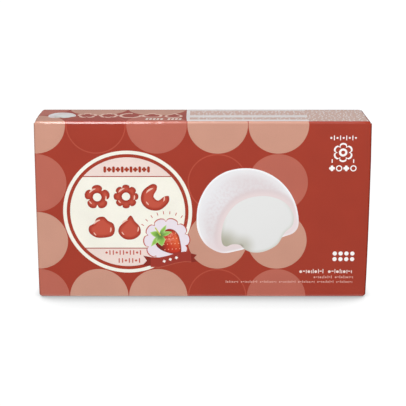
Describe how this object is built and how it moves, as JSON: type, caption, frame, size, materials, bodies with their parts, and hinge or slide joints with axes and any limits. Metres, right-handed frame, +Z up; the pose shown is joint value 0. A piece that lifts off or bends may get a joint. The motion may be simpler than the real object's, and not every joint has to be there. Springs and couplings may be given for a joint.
{
  "type": "closed carton of mini mochi rice cakes",
  "caption": "Shut printed cardboard carton for mini mochi rice cakes, standing on its long narrow side, with glued end flaps.",
  "frame": {"origin": "middle of the footprint, on the surface that the carton stands on", "axes": "+X along the carton's length, to the right as the front panel is read; the front panel faces -Y; +Z up"},
  "size_m": [0.151, 0.0262, 0.083],
  "materials": {
    "printed_board": "offset-printed folding boxboard with a semi-gloss varnish"
  },
  "bodies": {
    "root": {"carton": "printed_board"}
  },
  "joints": []
}
